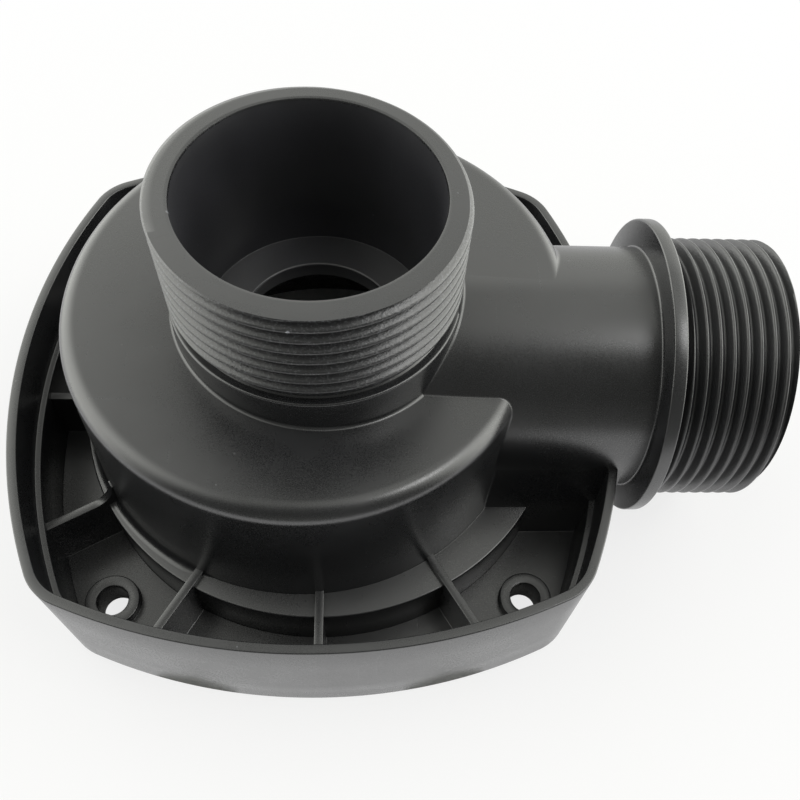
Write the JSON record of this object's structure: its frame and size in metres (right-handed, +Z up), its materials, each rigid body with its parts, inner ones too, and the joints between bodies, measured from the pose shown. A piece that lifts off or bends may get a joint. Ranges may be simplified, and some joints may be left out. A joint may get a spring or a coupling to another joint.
{
  "type": "pump chamber cover",
  "caption": "Black moulded pump chamber cover with a spiral casing, an upright threaded suction port and a threaded side discharge port on a walled square base.",
  "frame": {"origin": "on the suction port's axis, in the base plane on which the tray and the chamber ring rest", "axes": "+Z up along the suction port's axis, out of its mouth; +X along the discharge port's axis, out of its mouth"},
  "size_m": [0.1353, 0.1112, 0.0685],
  "materials": {
    "moulding": "black moulded plastic with a fine grain, satin"
  },
  "bodies": {
    "root": {"chamber_cover": "moulding"}
  },
  "joints": []
}
